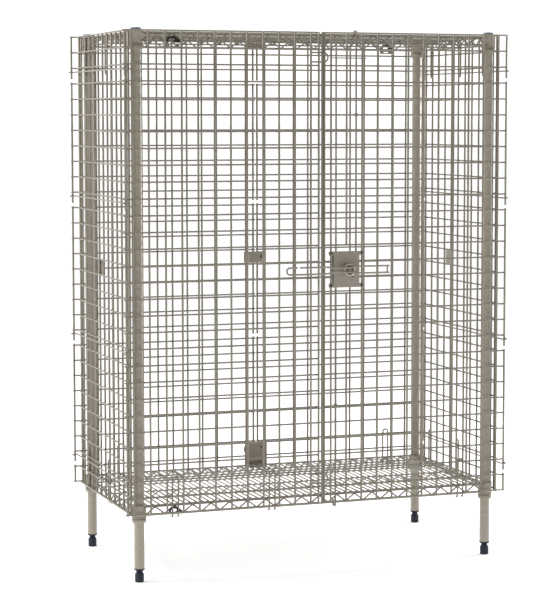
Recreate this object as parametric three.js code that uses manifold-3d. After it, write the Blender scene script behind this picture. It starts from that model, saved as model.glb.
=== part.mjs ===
// Wire security cage: a free-standing lockable wire unit on four posts.
// Millimetres, +Z up, doors facing -Y, floor at Z = 0, origin under the middle of the whole unit.

import * as THREE from 'three';
import { mergeVertices } from 'three/addons/utils/BufferGeometryUtils.js';
import Module from 'manifold-3d';

const wasm = await Module();
wasm.setup();

// ---------------------------------------------------------------- driving dimensions

const rowPitch = 50.8; // spacing of the horizontal wires
const rowCells = 29; // cells from the bottom wire to the top wire
const cageBottom = 216; // height of the lowest horizontal wire
const wire = 5; // mesh wire thickness
const layerStep = 4.6; // from the upright layer to the horizontal layer, pressed together by the weld
const coarseRows = 3; // the solid grid keeps every third horizontal wire
const coarseBays = 4; // and four bays across each panel

const edgeX = 633.5; // outer edge wires of the doors and of the back panels
const planeY = 323.5; // plane of the upright wires of the doors and of the back panels
const endX = 615; // plane of the upright wires of the end panels
const endEdgeY = 298; // edge wires of the end panels
const rowOverhang = 6; // how far a horizontal wire passes its edge wire
const meetOverhang = 1.5; // the same where two panels meet, trimmed flush
const uprightOverhang = 4; // how far an upright wire passes the top and bottom wires

const doorSplitX = -3.5; // meeting line of the doors
const backSplitX = 4.1; // meeting line of the back panels
const splitGap = 15; // between the edge wires at a meeting line

const postX = 586.7;
const postY = 284;
const postRadius = 15.8;
const postWall = 1.6;
const postFacets = 16; // facets round the posts and everything that slides on them
const smallFacets = 12;
const postTop = 1694;
const postBottom = 42.3;

const shelfThickness = 32; // height of the truss round a shelf
const lowerShelfTop = 239.2;
const shelfSpacing = 57 * 25.4; // the posts are grooved every inch
const trussY = 302;
const trussX = 606;
const trussWire = 6;
const webWire = 4.6;
const collarRadius = 23.4;
const collarProud = 1.2;
const sleeveRadius = 20.4; // widest radius of the wedge sleeve inside the collar
const deckBaysX = 8;
const deckBaysY = 4;
const deckStep = 3.6; // from the top of the deck down to the lengthwise bars

const hookCells = [1.75, 9.75, 18.75, 26.75]; // heights of the hinge hooks, in cells above the lowest wire
const slipGapCells = [1.2, 9.2, 18.2, 26.2]; // gaps in the edge wires that let the hooks in
const slipGap = 10;
const hookWire = 4.6;
const hookRadius = 8.4; // from the edge wire's centre to the hook wire's centre

const lockX = 81;
const lockCell = 14.5; // the lock sits between two rows
const lockPlateWidth = 87;
const lockPlateHeight = 112;
const lockWire = 6;
const camReach = 32; // from the spindle to each cam pin

const handleFromX = -120; // centre of the round end of the handle
const handleToX = 213;
const handleHalfGap = 11;
const handleY = -361;

const sideNames = [
  ['front_left', -1, -1],
  ['front_right', 1, -1],
  ['back_left', -1, 1],
  ['back_right', 1, 1],
];

const lockZ = rowZ(lockCell);
const upperShelfTop = lowerShelfTop + shelfSpacing;
const frontFace = handleY - lockWire / 2;
const backFace = planeY + hookRadius + hookWire / 2; // the hooks curl furthest back
const centreShift = -(frontFace + backFace) / 2; // puts the origin midway between handle and back

// ---------------------------------------------------------------- materials

const finishes = {
  epoxy: { color: 0x8d8578, roughness: 0.45, metalness: 0.35 },
  plate: { color: 0x968f84, roughness: 0.4, metalness: 0.5 },
  cap: { color: 0x6f7d8e, roughness: 0.5, metalness: 0.0 },
  foot: { color: 0x232c44, roughness: 0.55, metalness: 0.0 },
  sleeve: { color: 0x9a9280, roughness: 0.6, metalness: 0.0 },
  clip: { color: 0x303030, roughness: 0.5, metalness: 0.1 },
};

const cage = new THREE.Group();
cage.position.y = centreShift;

function addPart(name, geometry, finish) {
  const mesh = new THREE.Mesh(geometry, new THREE.MeshStandardMaterial(finishes[finish]));
  mesh.name = name;
  cage.add(mesh);
  return mesh;
}

// ---------------------------------------------------------------- solids

function rowZ(cells) {
  return cageBottom + cells * rowPitch;
}

function solid(geometry) {
  const bare = geometry.index ? geometry.toNonIndexed() : geometry.clone();
  bare.deleteAttribute('normal');
  bare.deleteAttribute('uv');
  const merged = mergeVertices(bare, 1e-4);
  return new wasm.Manifold(new wasm.Mesh({
    numProp: 3,
    vertProperties: new Float32Array(merged.attributes.position.array),
    triVerts: new Uint32Array(merged.index.array),
  }));
}

function geometryOf(body) {
  const mesh = body.getMesh();
  const geometry = new THREE.BufferGeometry();
  geometry.setAttribute('position', new THREE.BufferAttribute(new Float32Array(mesh.vertProperties), 3));
  geometry.setIndex(new THREE.BufferAttribute(new Uint32Array(mesh.triVerts), 1));
  geometry.computeVertexNormals();
  return geometry;
}

function join(geometries) {
  return geometryOf(geometries.map(solid).reduce((sum, next) => sum.add(next)));
}

function cut(geometry, tools) {
  return geometryOf(tools.map(solid).reduce((rest, tool) => rest.subtract(tool), solid(geometry)));
}

function block(fromX, toX, fromY, toY, fromZ, toZ) {
  const geometry = new THREE.BoxGeometry(toX - fromX, toY - fromY, toZ - fromZ);
  return geometry.translate((fromX + toX) / 2, (fromY + toY) / 2, (fromZ + toZ) / 2);
}

// A body of revolution about Z from points [radius, height].
function turned(points, segments = postFacets) {
  const profile = points.map(([radius, height]) => new THREE.Vector2(radius, height));
  return new THREE.LatheGeometry(profile, segments).rotateX(Math.PI / 2);
}

// A plate lying in the XZ plane, from its back face towards -Y.
function plate(shape, thickness, backY, curveSegments = 3) {
  const geometry = new THREE.ExtrudeGeometry(shape, { depth: thickness, bevelEnabled: false, curveSegments });
  return geometry.rotateX(Math.PI / 2).translate(0, backY, 0);
}

function roundedRectangle(width, height, corner, centreX = 0, centreZ = 0) {
  const x = width / 2 - corner;
  const z = height / 2 - corner;
  const shape = new THREE.Shape();
  shape.absarc(centreX + x, centreZ + z, corner, 0, Math.PI / 2);
  shape.absarc(centreX - x, centreZ + z, corner, Math.PI / 2, Math.PI);
  shape.absarc(centreX - x, centreZ - z, corner, Math.PI, 1.5 * Math.PI);
  shape.absarc(centreX + x, centreZ - z, corner, 1.5 * Math.PI, 2 * Math.PI);
  return shape;
}

function roundHole(x, z, radius) {
  const hole = new THREE.Path();
  hole.absarc(x, z, radius, 0, 2 * Math.PI);
  return hole;
}

function slot(x, z, width, height) {
  return roundedRectangle(width, height, Math.min(width, height) / 2 - 0.01, x, z);
}

// A straight rod of wire between two points.
function rod(from, to, thickness, sides = 5) {
  const start = new THREE.Vector3(...from);
  const along = new THREE.Vector3(...to).sub(start);
  const geometry = new THREE.CylinderGeometry(thickness / 2, thickness / 2, along.length(), sides);
  const turn = new THREE.Quaternion().setFromUnitVectors(new THREE.Vector3(0, 1, 0), along.clone().normalize());
  return geometry.applyQuaternion(turn).translate(...start.addScaledVector(along, 0.5).toArray());
}

class BendCurve extends THREE.Curve {
  // An arc about `centre`, from direction `start` (unit vector) towards `side` (unit vector).
  constructor(centre, start, side, radius, angle) {
    super();
    Object.assign(this, { centre, start, side, radius, angle });
  }

  getPoint(t, target = new THREE.Vector3()) {
    const turn = t * this.angle;
    return target.copy(this.centre)
      .addScaledVector(this.start, this.radius * Math.cos(turn))
      .addScaledVector(this.side, this.radius * Math.sin(turn));
  }
}

// A bent stretch of wire: an arc in the plane of two unit vectors.
function bend(centre, start, side, radius, angle, thickness, steps, sides = 5) {
  const section = new THREE.Shape();
  for (let i = 0; i < sides; i += 1) {
    const turn = (i / sides) * 2 * Math.PI;
    const x = (thickness / 2) * Math.cos(turn);
    const y = (thickness / 2) * Math.sin(turn);
    if (i === 0) section.moveTo(x, y);
    else section.lineTo(x, y);
  }
  const vectors = [centre, start, side].map((values) => new THREE.Vector3(...values));
  const extrudePath = new BendCurve(...vectors, radius, angle);
  return new THREE.ExtrudeGeometry(section, { steps, extrudePath, bevelEnabled: false });
}

// ---------------------------------------------------------------- wire grids

// Pieces of one upright edge wire, broken where the hinge hooks slip in.
function edgeWirePieces(x, y) {
  const breaks = slipGapCells.map(rowZ);
  const starts = [rowZ(0) - uprightOverhang, ...breaks.map((z) => z + slipGap / 2)];
  const ends = [...breaks.map((z) => z - slipGap / 2), rowZ(rowCells) + uprightOverhang];
  return starts.map((start, i) => block(x - wire / 2, x + wire / 2, y - wire / 2, y + wire / 2, start, ends[i]));
}

// A panel in the XZ plane. `rowSide` says on which side of the uprights the horizontal wires lie.
function wirePanel(fromX, toX, y, rowSide, brokenEdges) {
  const bay = (toX - fromX) / coarseBays;
  const pieces = [];
  for (let i = 0; i <= coarseBays; i += 1) {
    const x = fromX + i * bay;
    const broken = (i === 0 && brokenEdges.first) || (i === coarseBays && brokenEdges.last);
    if (broken) {
      pieces.push(...edgeWirePieces(x, y));
    } else {
      const [low, high] = [rowZ(0) - uprightOverhang, rowZ(rowCells) + uprightOverhang];
      pieces.push(block(x - wire / 2, x + wire / 2, y - wire / 2, y + wire / 2, low, high));
    }
  }
  const rowY = y + rowSide * layerStep;
  const overhangs = [brokenEdges.first ? rowOverhang : meetOverhang, brokenEdges.last ? rowOverhang : meetOverhang];
  for (let cell = 0; cell <= rowCells; cell += coarseRows) {
    pieces.push(gridRow(cell, fromX - overhangs[0], toX + overhangs[1], rowY));
  }
  pieces.push(gridRow(rowCells, fromX - overhangs[0], toX + overhangs[1], rowY));
  return join(pieces);
}

function gridRow(cell, fromX, toX, y) {
  return block(fromX, toX, y - wire / 2, y + wire / 2, rowZ(cell) - wire / 2, rowZ(cell) + wire / 2);
}

function endPanel(side) {
  const brokenEdges = { first: false, last: false };
  const panel = wirePanel(-endEdgeY, endEdgeY, 0, -1, brokenEdges);
  return panel.rotateZ((side * Math.PI) / 2).translate(side * endX, 0, 0);
}

// A hinge hook: a rod along the end panel whose two ends curl round the edge wires.
function hookRod(side, cells) {
  const z = rowZ(cells);
  const x = side * (edgeX - hookRadius);
  const curl = (4 / 3) * Math.PI;
  const pieces = [rod([x, -planeY - 0.5, z], [x, planeY + 0.5, z], hookWire)];
  for (const end of [-1, 1]) {
    const centre = [side * edgeX, end * planeY, z];
    pieces.push(bend(centre, [-side, 0, 0], [0, end, 0], hookRadius, curl, hookWire, 6));
  }
  return join(pieces);
}

// ---------------------------------------------------------------- posts and feet

function post() {
  const inner = postRadius - postWall;
  return turned([
    [inner, postBottom],
    [postRadius, postBottom],
    [postRadius, postTop],
    [inner, postTop],
    [inner, postBottom],
  ]);
}

function postCap() {
  const plugRadius = postRadius - postWall - 0.4;
  const seat = postTop + 0.3;
  return turned([
    [0, seat - 12],
    [plugRadius, seat - 12],
    [plugRadius, seat],
    [postRadius, seat],
    [postRadius - 1, seat + 1.4],
    [postRadius / 2, seat + 2.6],
    [0, seat + 2.9],
  ], smallFacets);
}

const flangeBottom = 36;

function postInsert() {
  const boreRadius = 5.4;
  const flangeRadius = postRadius + 1;
  const plugRadius = postRadius - postWall - 0.4;
  const flangeTop = postBottom - 0.3;
  return turned([
    [boreRadius, flangeBottom],
    [flangeRadius - 1, flangeBottom],
    [flangeRadius, flangeBottom + 1],
    [flangeRadius, flangeTop - 1],
    [flangeRadius - 1, flangeTop],
    [plugRadius, flangeTop],
    [plugRadius, flangeTop + 32],
    [boreRadius, flangeTop + 32],
    [boreRadius, flangeBottom],
  ], smallFacets);
}

function levellingFoot() {
  const stemRadius = 5;
  const neckTop = flangeBottom - 0.4;
  return turned([
    [0, 0],
    [12, 0],
    [13.5, 1.5],
    [13.5, 24],
    [12, 26],
    [10.5, 27],
    [10.5, neckTop],
    [stemRadius, neckTop],
    [stemRadius, 88],
    [0, 88],
  ], smallFacets);
}

// ---------------------------------------------------------------- shelves

// A tapered two-way wedge that grips the post inside the shelf collar.
function splitSleeve(shelfTop) {
  const inner = postRadius + 0.3;
  const bottom = shelfTop - 54;
  const top = shelfTop - 3;
  const ring = turned([
    [inner, bottom],
    [sleeveRadius, bottom],
    [sleeveRadius, bottom + 4],
    [sleeveRadius - 2.8, top],
    [inner, top],
    [inner, bottom],
  ]);
  return cut(ring, [block(0, 30, -1, 1, bottom - 1, top + 1)]);
}

// A cone-shaped collar that stands a little proud of the deck and of the truss.
function collar(shelfTop) {
  const [bottom, top] = [shelfTop - shelfThickness - collarProud, shelfTop + collarProud];
  return turned([
    [sleeveRadius, bottom],
    [collarRadius - 1, bottom],
    [collarRadius, top],
    [sleeveRadius - 2, top],
    [sleeveRadius, bottom],
  ]);
}

// The zigzag wire of a truss side, as a strip in the XZ plane.
function zigzag(length, bays, low, high) {
  const step = length / (2 * bays);
  const halfStrip = (webWire / 2) * Math.hypot(1, (high - low) / step);
  const heights = Array.from({ length: 2 * bays + 1 }, (_, i) => (i % 2 === 0 ? low : high));
  const upper = heights.map((z, i) => new THREE.Vector2(-length / 2 + i * step, z + halfStrip));
  const lower = heights.map((z, i) => new THREE.Vector2(-length / 2 + i * step, z - halfStrip));
  return plate(new THREE.Shape([...lower, ...upper.reverse()]), webWire, webWire / 2);
}

// One side of the truss along X, below the deck's border: a bottom wire and the zigzag wire on it.
function trussSide(length, bays, bottom) {
  const half = trussWire / 2;
  const wireBelow = block(-length / 2, length / 2, -half, half, bottom, bottom + trussWire);
  return join([zigzag(length, bays, bottom + half, bottom + shelfThickness - trussWire), wireBelow]);
}

// The deck: bars from front to back, on bars that run the length of the shelf.
function deckBars(shelfTop) {
  const half = trussWire / 2;
  const [deckX, deckY] = [trussX + half, trussY + half];
  const bars = [];
  for (let i = 0; i <= deckBaysX; i += 1) {
    const x = -trussX + (i * 2 * trussX) / deckBaysX;
    bars.push(block(x - half, x + half, -deckY, deckY, shelfTop - trussWire, shelfTop));
  }
  const lengthwiseTop = shelfTop - deckStep;
  for (let j = 0; j <= deckBaysY; j += 1) {
    const y = -trussY + (j * 2 * trussY) / deckBaysY;
    bars.push(block(-deckX + 1, deckX - 1, y - half + 1, y + half - 1, lengthwiseTop - trussWire, lengthwiseTop));
  }
  return bars;
}

function shelf(shelfTop) {
  const bottom = shelfTop - shelfThickness;
  const pieces = deckBars(shelfTop);
  for (const side of [-1, 1]) {
    pieces.push(trussSide(2 * postX, 8, bottom).translate(0, side * trussY, 0));
    pieces.push(trussSide(2 * postY, 4, bottom).rotateZ(Math.PI / 2).translate(side * trussX, 0, 0));
  }
  let body = pieces.map(solid).reduce((sum, next) => sum.add(next));
  const boreRadius = (sleeveRadius + collarRadius - 1) / 2;
  for (const [, sx, sy] of sideNames) {
    const bore = turned([[0, bottom - 5], [boreRadius, bottom - 5], [boreRadius, shelfTop + 5], [0, shelfTop + 5]]);
    body = body.subtract(solid(bore.translate(sx * postX, sy * postY, 0)));
    body = body.add(solid(collar(shelfTop).translate(sx * postX, sy * postY, 0)));
  }
  return geometryOf(body);
}

// ---------------------------------------------------------------- plates on the panels

function splicePlate(x, z, width, height, slots) {
  const shape = roundedRectangle(width, height, 5, x, z);
  for (const [dx, dz, w, h] of slots) shape.holes.push(slot(x + dx, z + dz, w, h));
  const rowFace = planeY - layerStep - wire / 2;
  return plate(shape, 2, rowFace - 0.4);
}

function endPlate(side) {
  const shape = roundedRectangle(58, 49, 5, 0, rowZ(lockCell));
  const sheet = plate(shape, 2, 0).rotateZ(Math.PI / 2);
  const innerFace = endX - wire / 2 - 0.4;
  return sheet.translate(side > 0 ? innerFace - 2 : -innerFace, 56, 0);
}

// A spring clip on the front truss of a shelf: a crescent with a flat tab.
function shelfClip(shelfTop) {
  const z = shelfTop - shelfThickness / 2;
  const shape = new THREE.Shape();
  shape.absarc(-493, z, 16, 0.5 * Math.PI, 1.5 * Math.PI, false);
  shape.lineTo(-461, z - 16);
  shape.lineTo(-461, z - 4);
  shape.lineTo(-486, z - 4);
  shape.absarc(-489, z, 8, 1.5 * Math.PI, 0.5 * Math.PI, true);
  shape.lineTo(-476, z + 8);
  shape.lineTo(-476, z + 16);
  return plate(shape, 4, -(trussY + trussWire / 2) - 0.4);
}

// ---------------------------------------------------------------- lock and handle

function lockPlate() {
  const shape = roundedRectangle(lockPlateWidth, lockPlateHeight, 4, lockX, lockZ);
  shape.holes.push(roundHole(lockX, lockZ, 6.6));
  shape.holes.push(roundHole(lockX + 22, lockZ - 21, 4.2));
  const back = -(planeY + wire / 2 + 0.4);
  const pieces = [plate(shape, 2, back, 6)];
  for (const sx of [-1, 1]) {
    for (const sz of [-1, 1]) {
      const [x, z] = [lockX + sx * 52.3, lockZ + sz * rowPitch];
      pieces.push(rod([x, back, z], [x, back - 5, z], 13, 6));
      pieces.push(block(x - 12, x + 12, back - 2, back, z - 5, z + 5));
    }
  }
  return join(pieces);
}

function lockBackPlate() {
  const shape = roundedRectangle(lockPlateWidth, lockPlateHeight, 4, lockX, lockZ);
  shape.holes.push(roundHole(lockX, lockZ, 6.6));
  shape.holes.push(roundHole(lockX + 22, lockZ - 21, 4.2));
  const rowFace = planeY - layerStep - wire / 2;
  return plate(shape, 1.5, -rowFace + 0.4 + 1.5, 6);
}

function handleHub() {
  const front = handleY + 3.4;
  const back = -(planeY + wire / 2 + 0.4 + 2 + 0.4);
  const hub = turned([
    [0, 0],
    [14, 0],
    [17.5, 3],
    [17.5, back - front - 6],
    [14, back - front],
    [0, back - front],
  ], 20);
  return hub.rotateX(-Math.PI / 2).translate(lockX, front, lockZ);
}

function spindle() {
  const shaft = rod([lockX, -328.4, lockZ], [lockX, -300.2, lockZ], 12, 12);
  const nut = rod([lockX, -303.2, lockZ], [lockX, -299, lockZ], 19, 6);
  return join([shaft, nut]);
}

function lockCam() {
  const arm = slot(lockX, lockZ, 2 * camReach + 18, 18);
  arm.holes.push(roundHole(lockX, lockZ, 6.4));
  const face = -306.8;
  const pieces = [plate(arm, 3, face + 3, 6)];
  for (const side of [-1, 1]) {
    const x = lockX + side * camReach;
    pieces.push(rod([x, face + 1, lockZ], [x, face - 5, lockZ], 6, 8));
  }
  return join(pieces);
}

function handleLoop() {
  const pieces = [];
  for (const side of [-1, 1]) {
    const z = lockZ + side * handleHalfGap;
    pieces.push(rod([handleFromX, handleY, z], [handleToX, handleY, z], lockWire, 6));
  }
  const centre = [handleFromX, handleY, lockZ];
  pieces.push(bend(centre, [0, 0, 1], [-1, 0, 0], handleHalfGap, Math.PI, lockWire, 6, 6));
  const barX = handleToX - 7;
  const reach = handleHalfGap;
  pieces.push(rod([barX, handleY, lockZ - reach], [barX, handleY, lockZ + reach], lockWire - 1, 6));
  pieces.push(block(lockX - 17, lockX + 17, handleY - 2, handleY + 2.9, lockZ - 15, lockZ + 15));
  return join(pieces);
}

// Latch rods end in hooks that go over the upper truss and under the lower one.
const latchY = -310.5;
const latchHookZ = { upper: upperShelfTop + 9, lower: lowerShelfTop - shelfThickness - 8 };

function latchRod(direction) {
  const x = lockX + direction * camReach;
  const hookZ = direction > 0 ? latchHookZ.upper : latchHookZ.lower;
  const yokeZ = lockZ + direction * 14;
  const bendRadius = 5;
  const behindY = -trussY + trussWire / 2 + 7;
  const pieces = [
    rod([x, latchY, yokeZ], [x, latchY, hookZ - direction * bendRadius], lockWire, 6),
    block(Math.min(x, lockX) - 3, Math.max(x, lockX) + 3, latchY - 2.5, latchY + 2.5, yokeZ - 3, yokeZ + 3),
    rod([x, latchY + bendRadius - 0.2, hookZ], [x, behindY, hookZ], lockWire, 6),
    rod([x, behindY, hookZ + direction * 2.5], [x, behindY, hookZ - direction * 19], lockWire - 1, 6),
  ];
  const centre = [x, latchY + bendRadius, hookZ - direction * bendRadius];
  pieces.push(bend(centre, [0, -1, 0], [0, 0, direction], bendRadius, Math.PI / 2, lockWire, 3, 6));
  return join(pieces);
}

function rodGuide(direction, cells) {
  const ring = turned([[3.6, -5], [5.5, -5], [5.5, 5], [3.6, 5], [3.6, -5]], smallFacets);
  return ring.translate(lockX + direction * camReach, latchY, rowZ(cells));
}

// A hairpin on the left door that reaches behind the edge of the right door.
function doorLoop(z) {
  const y = -planeY + wire + 0.4;
  const half = 17 - wire / 2;
  const [openX, roundX] = [doorSplitX - splitGap / 2 - 27, 13];
  const centre = [roundX, y, z];
  const back = [roundX + half - 0.5, roundX + half - 0.5];
  const pieces = [bend(centre, [0, 0, 1], [1, 0, 0], half, Math.PI, wire, 6)];
  for (const side of [-1, 1]) {
    pieces.push(rod([openX, y, z + side * half], [back[0] - half + 0.7, y, z + side * half], wire));
  }
  return join(pieces);
}

// ---------------------------------------------------------------- assembly

for (const [name, sx, sy] of sideNames) {
  const [x, y] = [sx * postX, sy * postY];
  addPart(`post_${name}`, post().translate(x, y, 0), 'epoxy');
  addPart(`post_cap_${name}`, postCap().translate(x, y, 0), 'cap');
  addPart(`post_insert_${name}`, postInsert().translate(x, y, 0), 'foot');
  addPart(`foot_${name}`, levellingFoot().translate(x, y, 0), 'foot');
  for (const [level, shelfTop] of [['lower', lowerShelfTop], ['upper', upperShelfTop]]) {
    addPart(`sleeve_${level}_${name}`, splitSleeve(shelfTop).translate(x, y, 0), 'sleeve');
  }
}

addPart('shelf_lower', shelf(lowerShelfTop), 'epoxy');
addPart('shelf_upper', shelf(upperShelfTop), 'epoxy');
addPart('shelf_clip_lower', shelfClip(lowerShelfTop), 'clip');
addPart('shelf_clip_upper', shelfClip(upperShelfTop), 'clip');

const backEdges = [backSplitX - splitGap / 2, backSplitX + splitGap / 2];
const allBroken = { first: true, last: true };
addPart('back_panel_left', wirePanel(-edgeX, backEdges[0], planeY, -1, allBroken), 'epoxy');
addPart('back_panel_right', wirePanel(backEdges[1], edgeX, planeY, -1, allBroken), 'epoxy');
addPart('back_splice_upper', splicePlate(backSplitX, 1673, 57, 26, [[0, 0, 30, 9]]), 'plate');
addPart('back_splice_middle', splicePlate(backSplitX, rowZ(lockCell), 80, 36, [[-20, -6, 20, 7], [20, -6, 20, 7]]), 'plate');
addPart('back_splice_lower', splicePlate(backSplitX, 269, 80, 88, [[0, -27, 50, 16], [0, 24, 24, 8]]), 'plate');

for (const [name, side] of [['left', -1], ['right', 1]]) {
  addPart(`end_panel_${name}`, endPanel(side), 'epoxy');
  addPart(`end_plate_${name}`, endPlate(side), 'plate');
  hookCells.forEach((cells, i) => addPart(`hook_rod_${name}_${i + 1}`, hookRod(side, cells), 'epoxy'));
}

const doorEdges = [doorSplitX - splitGap / 2, doorSplitX + splitGap / 2];
addPart('door_left', wirePanel(-edgeX, doorEdges[0], -planeY, 1, { first: true, last: false }), 'epoxy');
addPart('door_right', wirePanel(doorEdges[1], edgeX, -planeY, 1, { first: false, last: true }), 'epoxy');
addPart('door_loop_lower', doorLoop(rowZ(1.6)), 'epoxy');
addPart('door_loop_upper', doorLoop(rowZ(27.5)), 'epoxy');

addPart('lock_plate', lockPlate(), 'plate');
addPart('lock_back_plate', lockBackPlate(), 'plate');
addPart('lock_spindle', spindle(), 'plate');
addPart('lock_cam', lockCam(), 'plate');
addPart('handle_hub', handleHub(), 'plate');
addPart('handle_loop', handleLoop(), 'plate');
for (const [name, direction, guideCells] of [['lower', -1, 6], ['upper', 1, 24]]) {
  addPart(`latch_rod_${name}`, latchRod(direction), 'epoxy');
  addPart(`rod_guide_${name}`, rodGuide(direction, guideCells), 'epoxy');
}

export default cage;
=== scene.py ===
import math

import bpy
from mathutils import Matrix, Vector


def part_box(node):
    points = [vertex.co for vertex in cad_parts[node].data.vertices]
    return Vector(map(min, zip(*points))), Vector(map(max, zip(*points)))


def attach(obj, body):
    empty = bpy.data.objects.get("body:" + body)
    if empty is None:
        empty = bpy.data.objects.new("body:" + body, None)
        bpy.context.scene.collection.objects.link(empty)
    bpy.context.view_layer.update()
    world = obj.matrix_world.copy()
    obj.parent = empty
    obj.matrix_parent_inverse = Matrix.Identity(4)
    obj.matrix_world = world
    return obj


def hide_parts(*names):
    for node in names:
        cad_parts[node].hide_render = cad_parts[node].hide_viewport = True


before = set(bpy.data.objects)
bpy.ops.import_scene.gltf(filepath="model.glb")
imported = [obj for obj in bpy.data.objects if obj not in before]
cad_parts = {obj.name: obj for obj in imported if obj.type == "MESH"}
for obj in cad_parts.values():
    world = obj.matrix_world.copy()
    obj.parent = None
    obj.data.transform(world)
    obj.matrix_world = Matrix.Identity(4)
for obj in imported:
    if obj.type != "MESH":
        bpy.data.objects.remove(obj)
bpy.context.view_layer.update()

# ------------------------------------------------------------------ sizes, in millimetres
# X to the right, -Y towards the doors. Y is counted from midway between the doors and the back panels.

hook_low, hook_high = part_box("hook_rod_left_1")
SHIFT = (hook_low.y + hook_high.y) / 2 * 1000

MM = 0.001  # in metres
INCH = 25.4
PITCH = 50.8  # from row to row
CELLS = 29  # between the lowest and the highest row
BOTTOM = 216.0  # height of the lowest row
UPRIGHT = 6.6  # thickness of the upright wires
WIRE = 5.3  # thickness of the row wires
STEP = 4.7  # from the middle of an upright to the middle of the rows welded to it
UPRIGHT_PITCH = 52.3
PAST_BOTTOM, PAST_TOP = 2.6, 2.0  # how far the uprights run past the outer rows
EDGE_X = 633.5  # outer edge wires of the doors and the back panels
ROW_END_X = 639.5
PLANE_Y = 323.5  # uprights of the doors and the back panels
END_X = 615.0  # uprights of the end panels
END_EDGE_Y = 298.0  # edge wires of the end panels
POST_X, POST_Y, POST_R = 586.7, 284.0, 15.8
GROOVE = 0.12  # depth of the grooves in the posts
SHELF_X, SHELF_Y = 606.0, 302.0  # truss wires of the shelves
CROSS_Y = -35.0  # truss across the middle of each shelf
LOWER_TOP = 239.2  # deck of the lower shelf
UPPER_TOP = LOWER_TOP + 57 * INCH
LOCK_X = 81.0
LOCK_Z = BOTTOM + 14.5 * PITCH
HOOK_CELLS = (1.75, 9.75, 18.75, 26.75)
HOOK_R, HOOK_CURL = 8.4, 4 / 3 * math.pi
GAP_CELLS = (1.2, 9.2, 18.2, 26.2)  # breaks in the edge wires
GAP_HALF = 5.0
SIDES = (("front_left", -1, -1), ("front_right", 1, -1), ("back_left", -1, 1), ("back_right", 1, 1))


def row_z(cells):
    return BOTTOM + cells * PITCH


# ------------------------------------------------------------------ mesh building


class Shape:
    """Collects faces in millimetres and turns them into one smooth-shaded piece."""

    def __init__(self):
        self.points, self.faces, self.smooth = [], [], []

    def ring(self, centre, a, b, radius, sides):
        first = len(self.points)
        for i in range(sides):
            turn = 2 * math.pi * i / sides
            self.points.append(centre + radius * (math.cos(turn) * a + math.sin(turn) * b))
        return first

    def band(self, low, high, sides, smooth=True):
        for i in range(sides):
            j = (i + 1) % sides
            self.faces.append((low + i, low + j, high + j, high + i))
            self.smooth.append(smooth)

    def lid(self, first, sides, flip):
        order = list(range(first, first + sides))
        self.faces.append(tuple(reversed(order)) if flip else tuple(order))
        self.smooth.append(False)

    def wire(self, path, thickness=WIRE, sides=10, closed=False):
        """A round wire along the points of path, with slightly rounded ends."""
        path = [Vector(p) for p in path]
        path = [p for i, p in enumerate(path) if i == 0 or (p - path[i - 1]).length > 0.01]
        count = len(path)
        radius = thickness / 2
        tangents = []
        for i in range(count):
            before = path[i - 1] if i > 0 or closed else path[i]
            after = path[(i + 1) % count] if i < count - 1 or closed else path[i]
            tangents.append((after - before).normalized())
        side = tangents[0].orthogonal().normalized()
        rings = []
        for i in range(count):
            side = (side - tangents[i] * side.dot(tangents[i])).normalized()
            other = tangents[i].cross(side)
            stretch = 1.0
            if 0 < i < count - 1:
                half = (path[i] - path[i - 1]).angle(path[i + 1] - path[i]) / 2
                stretch = 1 / max(0.75, math.cos(half))
            if not closed and i == 0:
                rings.append(self.ring(path[0], side, other, radius * 0.72, sides))
                rings.append(self.ring(path[0] + tangents[0] * radius * 0.3, side, other, radius, sides))
            elif not closed and i == count - 1:
                rings.append(self.ring(path[i] - tangents[i] * radius * 0.3, side, other, radius, sides))
                rings.append(self.ring(path[i], side, other, radius * 0.72, sides))
            else:
                rings.append(self.ring(path[i], side, other, radius * stretch, sides))
        for low, high in zip(rings, rings[1:]):
            self.band(low, high, sides)
        if closed:
            self.band(rings[-1], rings[0], sides)
        else:
            self.lid(rings[0], sides, True)
            self.lid(rings[-1], sides, False)

    def turned(self, profile, x=0.0, y=0.0, sides=40, sharp=(), ends=True):
        """A body of revolution about the vertical through x, y from (radius, height) points, bottom first."""
        rings = []
        for radius, z in profile:
            rings.append(self.ring(Vector((x, y, z)), Vector((1, 0, 0)), Vector((0, 1, 0)), radius, sides))
        for i, (low, high) in enumerate(zip(rings, rings[1:])):
            self.band(low, high, sides, i not in sharp)
        if ends:
            self.lid(rings[0], sides, True)
            self.lid(rings[-1], sides, False)
        else:
            self.band(rings[-1], rings[0], sides, False)

    def piece(self, name, material, body, slot, *replaced):
        mesh = bpy.data.meshes.new(name)
        to_frame = [(p.x * MM, (p.y + SHIFT) * MM, p.z * MM) for p in self.points]
        mesh.from_pydata(to_frame, [], self.faces)
        mesh.polygons.foreach_set("use_smooth", self.smooth)
        mesh.update()
        place(bpy.data.objects.new(name, mesh), material, body, slot, *replaced)


def place(piece, material, body, slot, *replaced):
    """Puts a new piece into the scene on its body."""
    bpy.context.scene.collection.objects.link(piece)
    piece.data.materials.clear()
    piece.data.materials.append(material)
    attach(piece, body)
    if replaced:
        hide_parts(*replaced)


def arc(centre, start, side, radius, angle, steps=10):
    """Points of an arc about centre, from the direction start towards side."""
    centre, start, side = Vector(centre), Vector(start), Vector(side)
    turns = [angle * i / steps for i in range(steps + 1)]
    return [centre + radius * (math.cos(t) * start + math.sin(t) * side) for t in turns]


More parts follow.
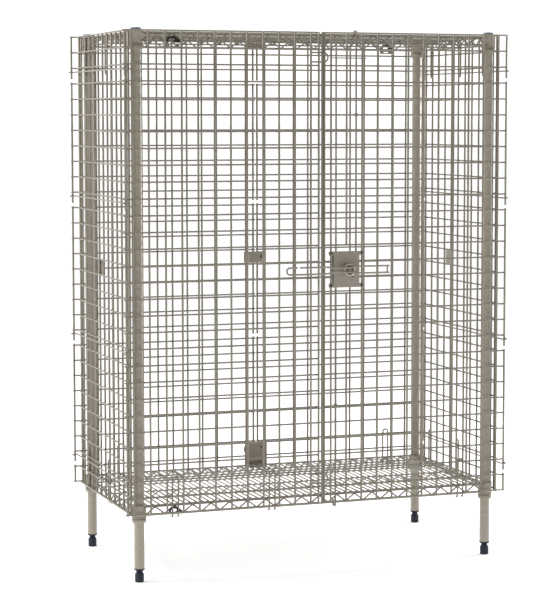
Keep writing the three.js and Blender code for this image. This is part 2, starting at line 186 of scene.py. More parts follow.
def sheet_metal(name, outline, holes, thickness, bevel, place_at, material, body, slot, *replaced):
    """A flat plate from closed outlines, with rounded edges. place_at puts its XY plane into the frame."""
    curve = bpy.data.curves.new(name + "_outline", "CURVE")
    curve.dimensions = "2D"
    curve.fill_mode = "BOTH"
    curve.extrude = thickness / 2 - bevel
    curve.bevel_depth = bevel
    curve.bevel_resolution = 2
    curve.offset = -bevel
    for ring in [outline, *holes]:
        spline = curve.splines.new("POLY")
        spline.points.add(len(ring) - 1)
        for point, (x, y) in zip(spline.points, ring):
            point.co = (x, y, 0, 1)
        spline.use_cyclic_u = True
    holder = bpy.data.objects.new(name + "_outline", curve)
    mesh = bpy.data.meshes.new_from_object(holder)
    mesh.name = name
    bpy.data.objects.remove(holder)
    bpy.data.curves.remove(curve)
    shift = Matrix.Translation((0, SHIFT, 0))
    mesh.transform(Matrix.Scale(MM, 4) @ shift @ place_at)
    for polygon in mesh.polygons:
        polygon.use_smooth = False
    place(bpy.data.objects.new(name, mesh), material, body, slot, *replaced)


def rounded(width, height, corner, x=0.0, y=0.0, steps=5):
    """The outline of a rectangle with rounded corners."""
    points = []
    for k, (sx, sy) in enumerate(((1, 1), (-1, 1), (-1, -1), (1, -1))):
        for i in range(steps + 1):
            turn = math.pi / 2 * (k + i / steps)
            points.append((x + sx * (width / 2 - corner) + corner * math.cos(turn),
                           y + sy * (height / 2 - corner) + corner * math.sin(turn)))
    return points


def circle(x, y, radius, steps=24):
    turns = [2 * math.pi * i / steps for i in range(steps)]
    return [(x + radius * math.cos(t), y + radius * math.sin(t)) for t in turns]


def facing_front(y):
    """Puts a plate's XY plane into the XZ plane at y, the plate's top face towards the doors."""
    return Matrix.Translation((0, y, 0)) @ Matrix.Rotation(math.pi / 2, 4, "X")


# ------------------------------------------------------------------ materials


def finish(name, light, dark, rough, metallic=0.0, coat=0.0, grain=900.0, bump=0.12, mottle=14.0):
    """A coated or moulded surface: two tones mixed by fine and broad noise, uneven gloss and a fine bump."""
    material = bpy.data.materials.new(name)
    material.use_nodes = True
    nodes, links = material.node_tree.nodes, material.node_tree.links
    shader = nodes["Principled BSDF"]
    shader.inputs["Metallic"].default_value = metallic
    shader.inputs["Coat Weight"].default_value = coat
    shader.inputs["Coat Roughness"].default_value = 0.16
    where = nodes.new("ShaderNodeTexCoord")

    def noise(scale, detail, roughness=0.55):
        made = nodes.new("ShaderNodeTexNoise")
        made.inputs["Scale"].default_value = scale
        made.inputs["Detail"].default_value = detail
        made.inputs["Roughness"].default_value = roughness
        links.new(where.outputs["Object"], made.inputs["Vector"])
        return made.outputs["Fac"]

    fine, broad = noise(grain, 3.0), noise(mottle, 4.0)
    blend = nodes.new("ShaderNodeMath")
    blend.operation = "MULTIPLY_ADD"
    blend.inputs[1].default_value = 0.45
    links.new(fine, blend.inputs[0])
    half = nodes.new("ShaderNodeMath")
    half.operation = "MULTIPLY"
    half.inputs[1].default_value = 0.55
    links.new(broad, half.inputs[0])
    links.new(half.outputs[0], blend.inputs[2])
    tones = nodes.new("ShaderNodeValToRGB")
    tones.color_ramp.elements[0].position = 0.34
    tones.color_ramp.elements[0].color = (*dark, 1)
    tones.color_ramp.elements[1].position = 0.66
    tones.color_ramp.elements[1].color = (*light, 1)
    links.new(blend.outputs[0], tones.inputs["Fac"])
    links.new(tones.outputs["Color"], shader.inputs["Base Color"])
    gloss = nodes.new("ShaderNodeMapRange")
    gloss.inputs["To Min"].default_value = rough - 0.08
    gloss.inputs["To Max"].default_value = rough + 0.08
    links.new(blend.outputs[0], gloss.inputs["Value"])
    links.new(gloss.outputs["Result"], shader.inputs["Roughness"])
    raised = nodes.new("ShaderNodeBump")
    raised.inputs["Strength"].default_value = bump
    raised.inputs["Distance"].default_value = 0.0003
    links.new(fine, raised.inputs["Height"])
    links.new(raised.outputs["Normal"], shader.inputs["Normal"])
    return material


def linear(red, green, blue):
    return tuple(((c / 255 + 0.055) / 1.055) ** 2.4 for c in (red, green, blue))


# The wire coat is a darker copy of the posts' epoxy: its darker tones are painted shade, standing for the
# shade on the door wires.
shaded_wire_coat = finish("epoxy_on_wire_painted_shade", linear(140, 133, 119), linear(116, 109, 96), 0.4, 0.15, 0.35)
post_coat = finish("epoxy_on_tube", linear(160, 152, 138), linear(153, 145, 131), 0.4, 0.15, 0.3, mottle=9.0)
sheet_coat = finish("epoxy_on_sheet", linear(152, 145, 133), linear(136, 129, 117), 0.45, 0.25, 0.15,
                    bump=0.2)
# The rim material is a lighter copy of the epoxy; its light tones are a painted highlight on the hub's rim.
rim_painted_highlight = finish("rim_painted_highlight", linear(196, 191, 180), linear(176, 170, 158), 0.3, 0.5, 0.2)
# Dark steel. On the lock plate's corner bolts its dark tone is partly painted shade, standing for the shadow
# round them.
dark_steel_and_shade = finish("dark_steel_and_shade", linear(96, 92, 86), linear(70, 66, 60), 0.4, 0.6)
sleeve_plastic = finish("sleeve_plastic", linear(160, 153, 136), linear(142, 135, 119), 0.5, bump=0.15)
cap_plastic = finish("cap_plastic", linear(112, 124, 146), linear(90, 101, 122), 0.42, bump=0.15)
foot_plastic = finish("foot_plastic", linear(26, 32, 52), linear(15, 19, 32), 0.62, bump=0.25)
clip_plastic = finish("clip_plastic", linear(28, 28, 29), linear(10, 10, 11), 0.3, bump=0.1)

# ------------------------------------------------------------------ wire grids


def upright(shape, x, y, gaps=False):
    """One upright wire, broken at the slip-in gaps of the hinge hooks when it's an edge wire."""
    starts = [row_z(0) - PAST_BOTTOM]
    ends = []
    if gaps:
        for cells in GAP_CELLS:
            ends.append(row_z(cells) - GAP_HALF)
            starts.append(row_z(cells) + GAP_HALF)
    ends.append(row_z(CELLS) + PAST_TOP)
    for low, high in zip(starts, ends):
        shape.wire([(x, y, low), (x, y, high)], UPRIGHT)


def mesh_panel(name, uprights, edges, y, row_side, rows, body, node, cut=None):
    """A welded mesh panel in an XZ plane.

    edges are (x, has gaps), rows is where the row wires start and end, and cut is (x, low, high) of an
    upright that is cut out for the lock.
    """
    shape = Shape()
    for x in uprights:
        if cut and abs(x - cut[0]) < 1:
            shape.wire([(x, y, row_z(0) - PAST_BOTTOM), (x, y, cut[1])], UPRIGHT)
            shape.wire([(x, y, cut[2]), (x, y, row_z(CELLS) + PAST_TOP)], UPRIGHT)
        else:
            upright(shape, x, y)
    for x, gaps in edges:
        upright(shape, x, y, gaps)
    for cell in range(CELLS + 1):
        z = row_z(cell)
        shape.wire([(rows[0], y + row_side * STEP, z), (rows[1], y + row_side * STEP, z)])
    shape.piece(name, shaded_wire_coat, body, "epoxy", node)


def spaced(first, step, count):
    return [first + step * i for i in range(count)]


mesh_panel("mesh_door_left", spaced(-37.0, -UPRIGHT_PITCH, 12), [(-EDGE_X, True), (-11.0, False)],
           -PLANE_Y, 1, (-ROW_END_X, -9.0), "door_left", "door_left")
mesh_panel("mesh_door_right", [7.9, *spaced(30.0, UPRIGHT_PITCH, 12)], [(1.2, False), (EDGE_X, True)],
           -PLANE_Y, 1, (-1.0, ROW_END_X), "door_right", "door_right",
           (82.3, row_z(13) + 1, row_z(16) - 1))
mesh_panel("mesh_back_left", spaced(-29.5, -UPRIGHT_PITCH, 12), [(-EDGE_X, True), (-3.4, True)],
           PLANE_Y, -1, (-ROW_END_X, 2.6), "frame", "back_panel_left")
mesh_panel("mesh_back_right", spaced(39.5, UPRIGHT_PITCH, 12), [(11.6, True), (EDGE_X, True)],
           PLANE_Y, -1, (5.6, ROW_END_X), "frame", "back_panel_right")

for side_name, side in (("left", -1), ("right", 1)):
    shape = Shape()
    for y in spaced(-265.0, 53.0, 11):
        upright(shape, side * END_X, y)
    for y in (-END_EDGE_Y, END_EDGE_Y):
        upright(shape, side * END_X, y)
        upright(shape, side * END_X, y - math.copysign(6.0, y))
    for cell in range(CELLS + 1):
        x, z = side * (END_X + STEP), row_z(cell)
        shape.wire([(x, -END_EDGE_Y - 4, z), (x, END_EDGE_Y + 4, z)])
    shape.piece(f"mesh_end_{side_name}", shaded_wire_coat, "frame", "epoxy", f"end_panel_{side_name}")

    for i, cells in enumerate(HOOK_CELLS):
        shape = Shape()
        z = row_z(cells)
        path = arc((side * EDGE_X, -PLANE_Y, z), (-side, 0, 0), (0, -1, 0), HOOK_R, HOOK_CURL, 14)[::-1]
        path += arc((side * EDGE_X, PLANE_Y, z), (-side, 0, 0), (0, 1, 0), HOOK_R, HOOK_CURL, 14)
        shape.wire(path, 4.6)
        shape.piece(f"hinge_hook_{side_name}_{i + 1}", shaded_wire_coat, "frame", "epoxy",
                    f"hook_rod_{side_name}_{i + 1}")

# ------------------------------------------------------------------ posts, caps, inserts and feet

for name, sx, sy in SIDES:
    x, y = sx * POST_X, sy * POST_Y
    profile = [(POST_R - 1.6, 42.3), (POST_R - 0.4, 42.3), (POST_R, 42.9)]
    sharp = {0, 1}
    for k in range(1, 65):
        z = LOWER_TOP - 7 * INCH + k * INCH - INCH / 2
        if 46 < z < 1690:
            sharp |= {len(profile), len(profile) + 2}
            profile += [(POST_R, z - 1.1), (POST_R - GROOVE, z - 0.6), (POST_R - GROOVE, z + 0.6),
                        (POST_R, z + 1.1)]
    profile += [(POST_R, 1693.4), (POST_R - 0.4, 1694.0), (POST_R - 1.6, 1694.0)]
    shape = Shape()
    shape.turned(profile, x, y, 32, ends=False)
    shape.piece(f"grooved_post_{name}", post_coat, "frame", "epoxy", f"post_{name}")

    shape = Shape()
    seat = 1694.2
    shape.turned([(13.7, seat - 12), (13.7, seat), (16.9, seat), (17.4, seat + 0.6), (17.2, seat + 1.4),
                  (15.8, seat + 2.9), (12.6, seat + 4.3), (7.0, seat + 5.2), (1.0, seat + 5.6)],
                 x, y, 40, {0, 1})
    shape.piece(f"domed_cap_{name}", cap_plastic, "frame", "cap", f"post_cap_{name}")

    shape = Shape()
    shape.turned([(5.4, 36.2), (11.4, 36.0), (13.6, 36.8), (16.0, 38.8), (16.8, 40.2), (16.7, 41.2),
                  (16.2, 41.9), (13.7, 41.9), (13.7, 74.0), (5.4, 74.0)], x, y, 40, {0, 6, 7, 8}, ends=False)
    shape.piece(f"foot_insert_{name}", foot_plastic, "frame", "foot", f"post_insert_{name}")

    shape = Shape()
    ribs = []
    for k in range(5):
        z = 5.4 + k * 3.6
        ribs += [(14.1, z - 1.2), (13.7, z - 0.3), (13.7, z + 0.3), (14.1, z + 1.2)]
    shape.turned([(12.0, 0.0), (13.5, 0.5), (14.1, 1.8), *ribs, (14.0, 24.0), (13.2, 26.2), (11.6, 28.2),
                  (10.3, 29.8), (9.9, 32.0), (10.1, 35.2), (5.0, 35.5), (5.0, 88.0)],
                 x, y, 32, {0, len(ribs) + 8, len(ribs) + 9})
    shape.piece(f"ribbed_foot_{name}", foot_plastic, f"foot_{name}", "foot", f"foot_{name}")

# ------------------------------------------------------------------ shelves


def zigzag(start, end, low, high, bays):
    """Points of the bent web wire between two points, peaks at `high`, its bends a little rounded."""
    start, end = Vector(start), Vector(end)
    points = []
    for i in range(2 * bays + 1):
        centre = start.lerp(end, i / (2 * bays))
        z = low if i % 2 == 0 else high
        inward = 1.6 if z == low else -1.6
        reach = (end - start).normalized() * 3.0
        for shift, dz in ((-reach, inward), (Vector((0, 0, 0)), 0.0), (reach, inward)):
            if (i > 0 or shift.dot(reach) >= 0) and (i < 2 * bays or shift.dot(reach) <= 0):
                points.append(Vector((centre.x, centre.y, z + dz)) + shift)
    return points


def shelf(name, top, node):
    """Trusses round the edge and across, deck wires on three more cross wires, and four collars."""
    shape = Shape()
    bottom_z, border_z = top - 29.0, top - 3.2
    cross_z = border_z - 3.0
    web = 4.8
    for side in (-1, 1):
        y = side * SHELF_Y
        for z in (bottom_z, border_z):
            shape.wire([(-583, y, z), (583, y, z)], 6.0)
        shape.wire(zigzag((-570, y, 0), (570, y, 0), bottom_z + 2.4, border_z - 2.4, 19), web)
        x = side * SHELF_X
        for z in (bottom_z, border_z):
            shape.wire([(x, -275, z), (x, 275, z)], 6.0)
        shape.wire(zigzag((x, -270, 0), (x, 270, 0), bottom_z + 2.4, border_z - 2.4, 9), web)
    for k in range(-29, 30):
        x = 20.0 * k
        reach = SHELF_Y if abs(x) < 570 else 262.0
        shape.wire([(x, -reach, top - 2.4), (x, reach, top - 2.4)], 4.8, 8)
    for z in (bottom_z, cross_z):
        shape.wire([(-SHELF_X, CROSS_Y, z), (SHELF_X, CROSS_Y, z)], 5.0)
    shape.wire(zigzag((-600, CROSS_Y, 0), (600, CROSS_Y, 0), bottom_z + 2.4, border_z - 5.4, 20), 4.4)
    for y in (-271.0, 93.0, 225.0):
        shape.wire([(-SHELF_X, y, cross_z), (SHELF_X, y, cross_z)], 5.0)
    low, high = top - 33.2, top + 1.2
    profile = [(20.6, low), (22.6, low), (23.2, low + 1.0), (22.5, low + 4.0), (22.7, high - 5.0),
               (23.4, high - 1.2), (22.9, high), (18.6, high)]
    collars = Shape()
    for _, sx, sy in SIDES:
        collars.turned(profile, sx * POST_X, sy * POST_Y, 44, {0, 6}, ends=False)
    collars.piece(name + "_collars", post_coat, "frame", "epoxy")
    shape.piece(name, shaded_wire_coat, "frame", "epoxy", node)


shelf("wire_shelf_lower", LOWER_TOP, "shelf_lower")
shelf("wire_shelf_upper", UPPER_TOP, "shelf_upper")


def split_sleeve(name, x, y, top, node):
    """Two tapered half shells round the post, with a flared lower edge and a dark notch in each."""
    shape = Shape()
    steps = 12
    outline = [(16.1, top - 54.0), (19.6, top - 54.0), (21.4, top - 51.6), (22.2, top - 47.0),
               (22.4, top - 41.4), (19.6, top - 41.0), (19.6, top - 38.4), (22.6, top - 38.0),
               (22.6, top - 34.4), (20.3, top - 34.0), (17.9, top - 3.0), (16.1, top - 3.0)]
    slit = math.radians(4)
    for half in (0, 1):
        first = []
        for i in range(steps + 1):
            turn = math.pi * half + slit + (math.pi - 2 * slit) * i / steps
            ring = []
            for radius, z in outline:
                ring.append(len(shape.points))
                shape.points.append(Vector((x + radius * math.cos(turn), y + radius * math.sin(turn), z)))
            first.append(ring)
        for a, b in zip(first, first[1:]):
            for k in range(len(outline)):
                m = (k + 1) % len(outline)
                shape.faces.append((a[k], b[k], b[m], a[m]))
                shape.smooth.append(k in (2, 3))
        shape.faces.append(tuple(first[0]))
        shape.faces.append(tuple(reversed(first[-1])))
        shape.smooth += [False, False]
    shape.piece(name, sleeve_plastic, "frame", "sleeve", node)


for level, top in (("lower", LOWER_TOP), ("upper", UPPER_TOP)):
    for name, sx, sy in SIDES:
        split_sleeve(f"wedge_sleeve_{level}_{name}", sx * POST_X, sy * POST_Y, top,
                     f"sleeve_{level}_{name}")


def crescent(name, x, y, z, *replaced):
    """A spring clip: a black crescent pressed over the truss wires. The upper ones have a flat tab."""
    outline = []
    for i in range(17):
        turn = math.radians(215 - 190 * i / 16)
        outline.append((x + 17.5 * math.cos(turn), z + 13 * math.sin(turn)))
    outline += [(x + 22, z + 1), (x + 29, z - 6), (x + 27, z - 9), (x + 6, z - 8), (x + 2, z - 5),
                (x + 8, z - 2)]
    for i in range(9):
        turn = math.radians(10 + 190 * i / 8)
        outline.append((x - 1 + 9 * math.cos(turn), z + 4.5 * math.sin(turn)))
    sheet_metal(name, outline, [], 4.0, 0.8, facing_front(y), clip_plastic, "frame", "clip", *replaced)
    if z > LOCK_Z:
        sheet_metal(name + "_tab", rounded(44, 11, 3, x + 1, z - 16), [rounded(18, 4, 1.5, x + 1, z - 16)],
                    1.6, 0.4, facing_front(y), sheet_coat, "frame", "plate")


for level, top, drop in (("lower", LOWER_TOP, 18), ("upper", UPPER_TOP, 26)):
    crescent(f"spring_clip_{level}", -481, -308.0, top - drop, f"shelf_clip_{level}")
    crescent(f"spring_clip_{level}_back", 480, 311.0, top - 20)

# ------------------------------------------------------------------ hairpin hooks


def hairpin(shape, x, y, low, high, round_up=True, along=(1, 0, 0), inward=(0, 1, 0), width=19.0,
            thick=5.2):
    """A U-shaped wire whose open ends hook round a truss wire."""
    centre = Vector((x, y, 0))
    across, inward = Vector(along) * (width / 2), Vector(inward)
    up = Vector((0, 0, 1 if round_up else -1))
    round_z, tip_z = (high, low) if round_up else (low, high)
    turn_at = centre + Vector((0, 0, round_z)) - up * (width / 2)
    path = []
    for side in (1, -1):
        hook_centre = centre + across * side + Vector((0, 0, tip_z)) + up * 5.0 + inward * 5.0
        leg = arc(hook_centre, -inward, -up, 5.0, math.radians(150), 8)[::-1]
        if side == 1:
            path += leg
            path += arc(turn_at, across.normalized(), up, width / 2, math.pi, 12)
        else:
            path += leg[::-1]
    shape.wire(path, thick)


PIN_X = 608.9
pins = Shape()
for x in (-478, -162, 485):
    hairpin(pins, x, -312.0, row_z(0) - 15, row_z(2) + 8)
pins.piece("hairpins_front", shaded_wire_coat, "frame", "epoxy")
pins = Shape()
for x in (-480, 484):
    hairpin(pins, x, 311.5, row_z(0) - 16, row_z(2) + 16, inward=(0, -1, 0))
pins.piece("hairpins_back", shaded_wire_coat, "frame", "epoxy")
for side_name, side in (("left", -1), ("right", 1)):
    pins = Shape()
    for y in (-20.0, 205.0):
        hairpin(pins, side * PIN_X, y, row_z(0) - 14, row_z(2) + 22, along=(0, 1, 0), inward=(-side, 0, 0))
    for y in (-20.0, 205.0) if side < 0 else (-205.0, -20.0, 205.0):
        hairpin(pins, side * PIN_X, y, row_z(26) + 26, row_z(29) - 4, False, (0, 1, 0), (-side, 0, 0),
                15.0, 6.2)
    pins.piece(f"hairpins_{side_name}", shaded_wire_coat, "frame", "epoxy")

# ------------------------------------------------------------------ plates on the back and the ends

PLATE_BACK_Y = PLANE_Y - STEP - WIRE / 2 - 1.3
on_back = facing_front(PLATE_BACK_Y)
sheet_metal("splice_plate_middle", rounded(80, 37, 4, 0.5, LOCK_Z), [rounded(7, 11, 3, 22, LOCK_Z + 1)],
            2.0, 0.4, on_back, sheet_coat, "frame", "plate", "back_splice_middle")
for name, x, z in (("middle", 22, LOCK_Z + 1), ("lower", 23, 296)):
    sheet_metal(f"splice_tongue_{name}", rounded(14, 18, 3, x, z), [], 1.2, 0.3,
                facing_front(PLATE_BACK_Y + 2.2), dark_steel_and_shade, "frame", "plate")
bump = [(-38, 280), (-41.5, 283), (-42, 292), (-40, 299), (-37, 302)]
lower = [p for p in rounded(80, 88, 4, 2.5, 269) if p[0] > 0 or not 276 < p[1] < 306]
left = [i for i, p in enumerate(lower) if p[0] < 0]
middle = left[len(left) // 2]
lower[middle:middle] = bump[::-1]
sheet_metal("splice_plate_lower", lower, [rounded(54, 20, 3, 3, 238.5), rounded(6, 9, 2.5, 23, 296)],
            2.0, 0.4, on_back, sheet_coat, "frame", "plate", "back_splice_lower")
# A backing sheet closes the pocket below the fold. It takes the darker wire coat rather than the plate's
# coat, a painted shade in the recess.
sheet_metal("splice_pocket_lower", rounded(64, 26, 3, 3, 238.5), [], 1.2, 0.3,
            facing_front(PLATE_BACK_Y + 3.4), shaded_wire_coat, "frame", "epoxy")
shape = Shape()
shape.wire([(-36, PLATE_BACK_Y - 0.6, 251), (41, PLATE_BACK_Y - 0.6, 251)], 4.4, 12)
shape.piece("splice_fold_lower", sheet_coat, "frame", "plate")
sheet_metal("splice_plate_upper", rounded(57, 26, 4, 4.1, 1673), [rounded(30, 8, 3, 4.1, 1673)],
            2.0, 0.4, on_back, sheet_coat, "frame", "plate", "back_splice_upper")
for side_name, side in (("left", -1), ("right", 1)):
    turn = Matrix.Translation((side * 611.1, 56, 0)) @ Matrix.Rotation(math.pi / 2, 4, "Z") @ facing_front(0)
    sheet_metal(f"end_tab_{side_name}", rounded(58, 49, 4, 0, LOCK_Z),
                [circle(-16, LOCK_Z + 8, 2.6), circle(16, LOCK_Z + 8, 2.6)], 2.0, 0.4, turn,
                sheet_coat, "frame", "plate", f"end_plate_{side_name}")

# ------------------------------------------------------------------ lock

FRONT = -(PLANE_Y + UPRIGHT / 2 + 0.2)
lock_outline = []
ear_reach, ear_z = 60.0, PITCH
for sx, sz in ((1, 1), (-1, 1), (-1, -1), (1, -1)):
    corner = [(43.5, ear_z - 7), (ear_reach - 2, ear_z - 7), (ear_reach, ear_z - 5), (ear_reach, ear_z + 4),
              (ear_reach - 2, ear_z + 6), (43.5, ear_z + 6)]
    if sx * sz < 0:
        corner = list(reversed(corner))
    lock_outline += [(LOCK_X + sx * a, LOCK_Z + sz * b) for a, b in corner]
sheet_metal("lock_plate_front", lock_outline,
            [circle(LOCK_X, LOCK_Z, 6.6), circle(LOCK_X + 22, LOCK_Z - 21, 4.2)], 2.0, 0.4,
            facing_front(FRONT - 1.0), sheet_coat, "door_right", "plate", "lock_plate")
sheet_metal("lock_plate_inner", rounded(87, 112, 4, LOCK_X, LOCK_Z),
            [circle(LOCK_X, LOCK_Z, 6.6), circle(LOCK_X + 26.5, LOCK_Z - 21.5, 10)], 1.5, 0.3,
            facing_front(-(PLANE_Y - STEP - WIRE / 2 - 1.2)), sheet_coat, "door_right", "plate",
            "lock_back_plate")
# The corner bolts are dark steel; their darkness is partly painted shade.
shape = Shape()
for sx in (-1, 1):
    for sz in (-1, 1):
        x, z = LOCK_X + sx * 52.3, LOCK_Z + sz * PITCH
        shape.wire([(x, FRONT - 1.8, z), (x, FRONT - 5.0, z)], 10.0, 6)
        shape.wire([(x, FRONT - 4.6, z), (x, FRONT - 7.0, z)], 6.0, 12)
shape.piece("lock_plate_bolts", dark_steel_and_shade, "door_right", "plate")


def along_y(profile, x, z, sides=40, sharp=()):
    """A turned body on an axis from front to back: profile is (radius, y), front first."""
    shape = Shape()
    rings = [shape.ring(Vector((x, y, z)), Vector((1, 0, 0)), Vector((0, 0, -1)), r, sides)
             for r, y in profile]
    for i, (low, high) in enumerate(zip(rings, rings[1:])):
        shape.band(high, low, sides, i not in sharp)
    shape.lid(rings[0], sides, False)
    shape.lid(rings[-1], sides, True)
    return shape


HANDLE_Y = -361.0
CAM_REACH = 32  # from the spindle to the pins that work the latch rods
hub = along_y([(4.0, HANDLE_Y + 4.0), (5.6, HANDLE_Y + 4.4), (6.0, HANDLE_Y + 11.0),
               (10.5, HANDLE_Y + 12.0), (13.4, HANDLE_Y + 9.0), (14.6, HANDLE_Y + 4.4),
               (15.4, HANDLE_Y + 5.4), (15.0, HANDLE_Y + 12.0), (14.4, -338.0), (15.6, -334.0),
               (18.6, -330.6), (18.6, -329.2)], LOCK_X, LOCK_Z, 48)
hub.piece("round_hub", sheet_coat, "handle", "plate", "handle_hub")
spindle = along_y([(5.2, -328.4), (6.0, -327.6), (6.0, -303.4), (9.4, -303.0), (9.6, -302.2), (9.6, -299.8),
                   (8.8, -299.0)], LOCK_X, LOCK_Z, 24, {2})
spindle.piece("spindle_and_nut", sheet_coat, "handle", "plate", "lock_spindle")

sheet_metal("cam_arm", rounded(82, 18, 8.8, LOCK_X, LOCK_Z, 8), [circle(LOCK_X, LOCK_Z, 6.3)], 3.0, 0.4,
            facing_front(-305.3), sheet_coat, "handle", "plate", "lock_cam")
shape = Shape()
for side in (-1, 1):
    x = LOCK_X + side * CAM_REACH
    shape.wire([(x, -303.6, LOCK_Z), (x, -312, LOCK_Z)], 6.0, 14)
shape.piece("cam_pins", sheet_coat, "handle", "plate")

shape = Shape()
half_gap, pinch = 10.6, 6.8
for side in (1, -1):
    z = LOCK_Z + side * half_gap
    inner = LOCK_Z + side * pinch
    run = [(213, HANDLE_Y, z), (102, HANDLE_Y, z), (96, HANDLE_Y, z - side * 0.6),
           (88, HANDLE_Y, inner + side * 0.6), (82, HANDLE_Y, inner), (28, HANDLE_Y, inner),
           (20, HANDLE_Y, inner + side * 0.6), (6, HANDLE_Y, z - side * 0.6), (-4, HANDLE_Y, z),
           (-87, HANDLE_Y, z)]
    if side < 0:
        run += arc((-120, HANDLE_Y, LOCK_Z), (0, 0, -1), (-1, 0, 0), half_gap, math.pi, 14)
        run += [(-95, HANDLE_Y, LOCK_Z + half_gap)]
    shape.wire(run, 5.8, 12)
shape.wire([(206, HANDLE_Y, LOCK_Z - half_gap), (206, HANDLE_Y, LOCK_Z + half_gap)], 5.0)
shape.piece("wire_handle", sheet_coat, "handle", "plate", "handle_loop")
# The ring round the hub takes the lighter rim material, a painted highlight on the rim.
shape = Shape()
rim = [(LOCK_X + 16.0 * math.cos(t), HANDLE_Y + 5.8, LOCK_Z + 16.8 * math.sin(t))
       for t in [2 * math.pi * i / 40 for i in range(40)]]
shape.wire(rim, 4.4, 10, closed=True)
shape.piece("hub_rim", rim_painted_highlight, "handle", "plate")

# ------------------------------------------------------------------ latch rods, guides and door loops

LATCH_Y, LATCH_BACK_Y = -310.5, -292.0
for level, direction, guide_cells in (("upper", 1, 24), ("lower", -1, 6)):
    x = LOCK_X + direction * CAM_REACH + (6.5 if direction > 0 else 2.0)
    hook_z = UPPER_TOP + 9 if direction > 0 else LOWER_TOP - 32 - 8
    yoke_z = LOCK_Z + direction * 14
    path = [(LOCK_X - direction * 3, LATCH_Y, yoke_z), (x - direction * 7, LATCH_Y, yoke_z)]
    path += arc((x - direction * 7, LATCH_Y, yoke_z + direction * 7), (0, 0, -direction),
                (direction, 0, 0), 7.0, math.pi / 2, 6)
    path += arc((x, LATCH_Y + 5, hook_z - direction * 5), (0, -1, 0), (0, 0, direction), 5.0, math.pi / 2, 6)
    path += arc((x, LATCH_BACK_Y - 5, hook_z - direction * 5), (0, 0, direction), (0, 1, 0), 5.0,
                math.pi / 2, 6)
    path += [(x, LATCH_BACK_Y, hook_z - direction * 19)]
    shape = Shape()
    shape.wire(path, 6.0, 12)
    shape.piece(f"latch_bar_{level}", shaded_wire_coat, f"latch_rod_{level}", "epoxy", f"latch_rod_{level}")

    shape = Shape()
    ring_z = row_z(guide_cells)
    for lift in (-3.2, 3.2):
        loop = [(x + 4.9 * math.cos(t), LATCH_Y + 4.9 * math.sin(t), ring_z + lift)
                for t in [2 * math.pi * i / 16 for i in range(16)]]
        shape.wire(loop, 3.0, 8, closed=True)
    shape.piece(f"bar_guide_{level}", shaded_wire_coat, "door_right", "epoxy", f"rod_guide_{level}")

# a short guide wire behind the right door, beside the upper door loop
shape = Shape()
guide_z = row_z(27.47)
shape.wire([(38, -316.0, guide_z), (150, -316.0, guide_z)], 3.6)
shape.piece("guide_wire_upper", shaded_wire_coat, "door_right", "epoxy")

for level, cells in (("lower", 1.5), ("upper", 27.5)):
    y = -PLANE_Y + 5.4
    z = row_z(cells)
    path = [(-38, y, z - 14.5), (7, y, z - 14.5)]
    path += arc((7, y, z), (0, 0, -1), (1, 0, 0), 14.5, math.pi, 14)[1:]
    path += [(-38, y, z + 14.5)]
    shape = Shape()
    shape.wire(path, 5.0, 12)
    shape.piece(f"keeper_loop_{level}", shaded_wire_coat, "door_left", "epoxy", f"door_loop_{level}")

# ------------------------------------------------------------------ floor, light and camera

bpy.ops.mesh.primitive_plane_add(size=900)
floor = bpy.context.object
floor.name = "floor"
white = bpy.data.materials.new("floor_white")
white.use_nodes = True
floor_shader = white.node_tree.nodes["Principled BSDF"]
for key, value in (("Base Color", (0.92, 0.92, 0.92, 1)), ("Roughness", 0.9),
                   ("Emission Color", (1, 1, 1, 1)), ("Emission Strength", 0.22)):
    floor_shader.inputs[key].default_value = value
floor.data.materials.append(white)

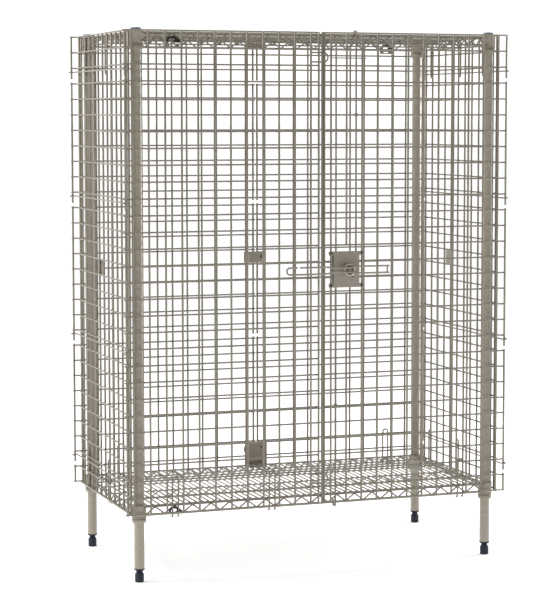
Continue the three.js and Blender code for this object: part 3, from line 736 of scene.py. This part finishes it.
bpy.context.scene.view_settings.view_transform = "Standard"
world = bpy.data.worlds.new("studio")
bpy.context.scene.world = world
world.use_nodes = True
sky_nodes, sky_links = world.node_tree.nodes, world.node_tree.links
direction = sky_nodes.new("ShaderNodeTexCoord")
parts = sky_nodes.new("ShaderNodeSeparateXYZ")
sky_links.new(direction.outputs["Generated"], parts.inputs["Vector"])
sky = sky_nodes.new("ShaderNodeMapRange")
for key, value in (("From Min", -0.8), ("From Max", 0.4), ("To Min", 0.42), ("To Max", 1.22)):
    sky.inputs[key].default_value = value
sky_links.new(parts.outputs["Y"], sky.inputs["Value"])
sky_links.new(sky.outputs["Result"], sky_nodes["Background"].inputs["Strength"])
sky_nodes["Background"].inputs["Color"].default_value = (1, 1, 1, 1)


def soft_light(name, where, size, power, target=(0, 0, 0.9)):
    light = bpy.data.lights.new(name, "AREA")
    light.size = size
    light.energy = power
    lamp = bpy.data.objects.new(name, light)
    lamp.location = where
    lamp.rotation_euler = (Vector(target) - Vector(where)).to_track_quat("-Z", "Y").to_euler()
    bpy.context.scene.collection.objects.link(lamp)


soft_light("key", (-3.2, 0.6, 4.4), 1.8, 140)
soft_light("fill", (4.4, 0.9, 1.8), 2.0, 130)

# the camera, with its focal length and the foot of its axis in pixels of the 549 by 604 picture
YAW, PITCH_DOWN, ROLL = 0.3552494, 0.0861353, -0.0001361
FOCAL, AXIS_X, AXIS_Y = 2060.33, 296.2436, 294.0
LONG_SIDE, SENSOR = 604, 36.0
eye = Vector((-2.30827, -6.31916 + SHIFT * MM, 1.42975))
along = math.cos(PITCH_DOWN)
ahead = Vector((math.sin(YAW) * along, math.cos(YAW) * along, -math.sin(PITCH_DOWN)))
right = Vector((math.cos(YAW), -math.sin(YAW), 0))
up = right.cross(ahead)
right, up = right * math.cos(ROLL) + up * math.sin(ROLL), up * math.cos(ROLL) - right * math.sin(ROLL)
camera = bpy.data.objects.new("camera", bpy.data.cameras.new("camera"))
camera.matrix_world = Matrix(((right.x, up.x, -ahead.x, eye.x), (right.y, up.y, -ahead.y, eye.y),
                              (right.z, up.z, -ahead.z, eye.z), (0, 0, 0, 1)))
camera.data.sensor_width = SENSOR
camera.data.lens = FOCAL * SENSOR / LONG_SIDE
camera.data.shift_x = -(AXIS_X - 274.0) / LONG_SIDE
camera.data.shift_y = -(301.5 - AXIS_Y) / LONG_SIDE
camera.data.clip_end = 1000
bpy.context.scene.collection.objects.link(camera)
bpy.context.scene.camera = camera
